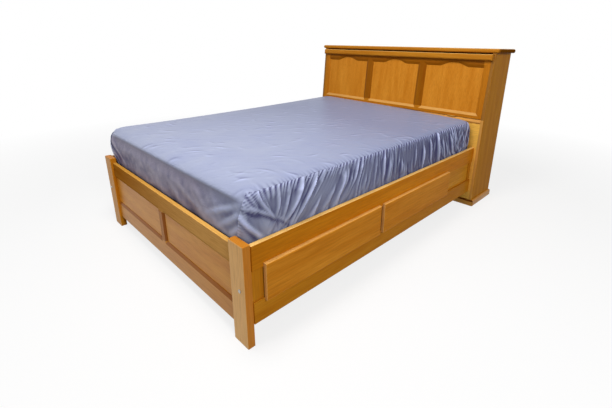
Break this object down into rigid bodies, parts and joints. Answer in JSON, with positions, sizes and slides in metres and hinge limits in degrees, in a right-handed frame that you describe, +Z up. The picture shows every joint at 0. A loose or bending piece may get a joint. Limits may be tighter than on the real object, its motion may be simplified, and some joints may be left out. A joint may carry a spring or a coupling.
{
  "type": "bed",
  "caption": "Panelled wooden storage bed with side drawers, a box headboard with a drop front, a mattress and a fitted satin sheet with a gathered skirt.",
  "frame": {"origin": "on the floor under the middle of the bed", "axes": "+Z up, +Y from the foot towards the headboard, +X to the right side seen from the foot"},
  "size_m": [1.742, 2.438, 1.2],
  "materials": {
    "varnished_oak": "satin varnish",
    "plain_pine": "planed, unvarnished",
    "plywood": "sanded",
    "zinc_steel": "zinc plated",
    "brass": "lacquered",
    "mattress_ticking": "woven",
    "satin_sheet": "satin weave"
  },
  "bodies": {
    "bed_frame": {"foot_post_left": "varnished_oak", "foot_post_right": "varnished_oak", "footboard_top_rail": "varnished_oak", "footboard_bottom_rail": "varnished_oak", "footboard_muntin": "varnished_oak", "footboard_panel_left": "varnished_oak", "footboard_panel_right": "varnished_oak", "side_top_rail_left": "varnished_oak", "side_top_rail_right": "varnished_oak", "side_bottom_rail_left": "varnished_oak", "side_bottom_rail_right": "varnished_oak", "side_stiles_left": "varnished_oak", "side_stiles_right": "varnished_oak", "side_panel_left": "varnished_oak", "side_panel_right": "varnished_oak", "head_wing_left": "varnished_oak", "head_wing_right": "varnished_oak", "head_cap": "varnished_oak", "head_shelf": "varnished_oak", "head_lower_panel": "varnished_oak", "head_plinth_front": "varnished_oak", "head_plinth_sides": "varnished_oak", "centre_partition": "plain_pine", "centre_legs": "plain_pine", "drawer_dividers": "plain_pine", "drawer_runners": "plain_pine", "slat_cleats": "plain_pine", "corner_blocks": "plain_pine", "slats": "plain_pine", "head_back_panel": "plywood", "bed_bolts": "zinc_steel", "captive_nuts": "zinc_steel", "hinge_fixed_leaves": "brass", "hinge_pins": "brass", "mattress": "mattress_ticking", "sheet_top": "satin_sheet", "sheet_skirt": "satin_sheet"},
    "drawer_foot_left": {"drawer_foot_left_front": "varnished_oak", "drawer_foot_left_sides": "plain_pine", "drawer_foot_left_back": "plain_pine", "drawer_foot_left_bottom": "plywood"},
    "drawer_head_left": {"drawer_head_left_front": "varnished_oak", "drawer_head_left_sides": "plain_pine", "drawer_head_left_back": "plain_pine", "drawer_head_left_bottom": "plywood"},
    "drawer_foot_right": {"drawer_foot_right_front": "varnished_oak", "drawer_foot_right_sides": "plain_pine", "drawer_foot_right_back": "plain_pine", "drawer_foot_right_bottom": "plywood"},
    "drawer_head_right": {"drawer_head_right_front": "varnished_oak", "drawer_head_right_sides": "plain_pine", "drawer_head_right_back": "plain_pine", "drawer_head_right_bottom": "plywood"},
    "head_flap": {"flap_stiles": "varnished_oak", "flap_bottom_rail": "varnished_oak", "flap_top_rail": "varnished_oak", "flap_muntins": "varnished_oak", "flap_panels": "varnished_oak", "flap_lip": "varnished_oak", "hinge_moving_leaves": "brass"}
  },
  "joints": [
    {"name": "drawer_foot_left_slide", "type": "slide", "parent": "bed_frame", "child": "drawer_foot_left", "axis": [-1, 0, 0], "range_m": [0, 0.45]},
    {"name": "drawer_head_left_slide", "type": "slide", "parent": "bed_frame", "child": "drawer_head_left", "axis": [-1, 0, 0], "range_m": [0, 0.45]},
    {"name": "drawer_foot_right_slide", "type": "slide", "parent": "bed_frame", "child": "drawer_foot_right", "axis": [1, 0, 0], "range_m": [0, 0.45]},
    {"name": "drawer_head_right_slide", "type": "slide", "parent": "bed_frame", "child": "drawer_head_right", "axis": [1, 0, 0], "range_m": [0, 0.45]},
    {"name": "head_flap_hinge", "type": "hinge", "parent": "bed_frame", "child": "head_flap", "pos_m": [0, 0.86239, 0.69168], "axis": [1, 0, 0], "range_deg": [0, 90]}
  ]
}
